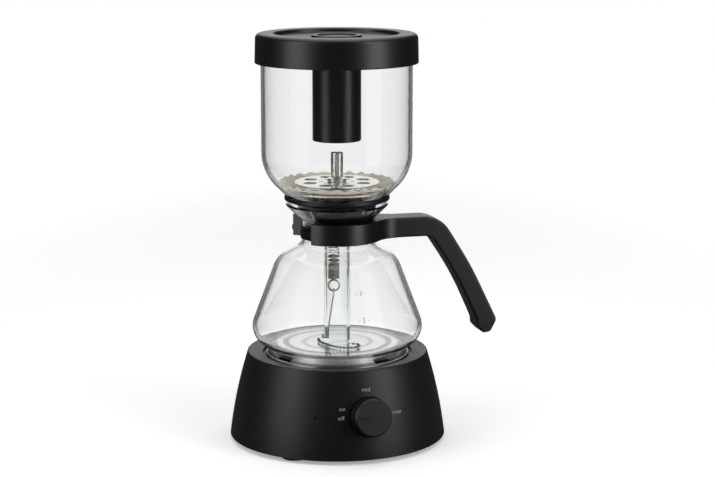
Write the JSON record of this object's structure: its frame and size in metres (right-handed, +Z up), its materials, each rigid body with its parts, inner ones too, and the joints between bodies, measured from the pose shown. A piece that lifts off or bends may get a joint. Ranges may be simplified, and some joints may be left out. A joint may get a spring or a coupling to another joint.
{
  "type": "siphon coffee maker",
  "caption": "Siphon coffee maker: lower glass bowl with handle on a round electric heating base, upper glass bowl with filter, and a lid with a stand tube.",
  "frame": {"origin": "on the table under the centre of the base", "axes": "+Z up; -Y towards the control knob; the handle points 3 degrees from +X towards -Y"},
  "size_m": [0.2108, 0.1747, 0.313],
  "materials": {
    "black_shell": "fine-grained matt moulded plastic",
    "black_satin": "satin moulded plastic",
    "black_gloss": "glossy moulded plastic",
    "clear_glass": "clear blown borosilicate glass",
    "black_rubber": "satin silicone rubber",
    "polished_steel": "polished stainless steel",
    "brushed_steel": "brushed stainless steel",
    "dark_steel": "blackened spring steel",
    "aluminium": "cast aluminium",
    "paper": "unbleached filter paper",
    "board_green": "circuit board",
    "ceramic": "glazed ceramic",
    "lens_dark": "dark translucent plastic",
    "pale_inlay": "pale grey inlay"
  },
  "bodies": {
    "base": {"base_shell": "black_shell", "bottom_cover": "black_satin", "cover_screws": "brushed_steel", "heater_plate": "polished_steel", "plate_gasket": "black_rubber", "bowl_clips": "dark_steel", "heating_element": "brushed_steel", "heat_shield": "aluminium", "shield_screws": "brushed_steel", "thermostat": "ceramic", "thermal_fuse": "ceramic", "circuit_board": "board_green", "terminal_block": "ceramic", "potentiometer": "brushed_steel", "pot_bracket": "brushed_steel", "indicator_lens": "lens_dark", "indicator_led": "lens_dark", "cord_gland": "black_rubber", "foot_1": "black_rubber", "foot_2": "black_rubber", "foot_3": "black_rubber", "foot_4": "black_rubber"},
    "knob": {"control_knob": "black_satin", "knob_pointer": "pale_inlay", "knob_shaft": "brushed_steel"},
    "jug": {"lower_bowl": "clear_glass", "handle": "black_satin", "neck_strap": "dark_steel", "strap_screw": "dark_steel"},
    "upper": {"upper_bowl": "clear_glass", "bowl_seal": "black_rubber", "filter_base": "polished_steel", "filter_stud": "polished_steel", "paper_filter": "paper"},
    "washer": {"clamp_washer": "black_rubber"},
    "clamp": {"clamp_disc": "polished_steel", "clamp_post": "polished_steel"},
    "hook": {"filter_spring": "polished_steel", "spring_coil": "polished_steel", "hook_ring": "polished_steel", "hook_wire": "polished_steel", "bead_chain": "polished_steel"},
    "lid": {"lid_cap": "black_satin", "lid_boss": "black_satin", "stand_tube": "black_gloss"}
  },
  "joints": [
    {"name": "knob_turn", "type": "hinge", "parent": "base", "child": "knob", "pos_m": [0, -0.0781, 0.0344], "axis": [0, 0.9781, -0.2079], "range_deg": [0, 177]},
    {"name": "jug_lift", "type": "slide", "parent": "base", "child": "jug", "axis": [0, 0, 1], "range_m": [0, 0.06]},
    {"name": "upper_lift", "type": "slide", "parent": "jug", "child": "upper", "axis": [0, 0, 1], "range_m": [0, 0.12]},
    {"name": "lid_lift", "type": "slide", "parent": "upper", "child": "lid", "axis": [0, 0, 1], "range_m": [0, 0.095]},
    {"name": "clamp_rise", "type": "slide", "parent": "upper", "child": "washer", "axis": [0, 0, 1], "range_m": [0, 0.0021]},
    {"name": "clamp_turn", "type": "hinge", "parent": "washer", "child": "clamp", "pos_m": [0, 0, 0.2], "axis": [0, 0, 1], "range_deg": [0, 1080]},
    {"name": "hook_pull", "type": "slide", "parent": "upper", "child": "hook", "axis": [0, 0, -1], "range_m": [0, 0.0015], "stiffness_N_per_m": 250, "springref_m": -0.012, "deforming": ["filter_spring", "bead_chain"]}
  ],
  "couplings": [
    {"joint": "clamp_rise", "follows": "clamp_turn", "m_per_rad": 0.00011141}
  ]
}
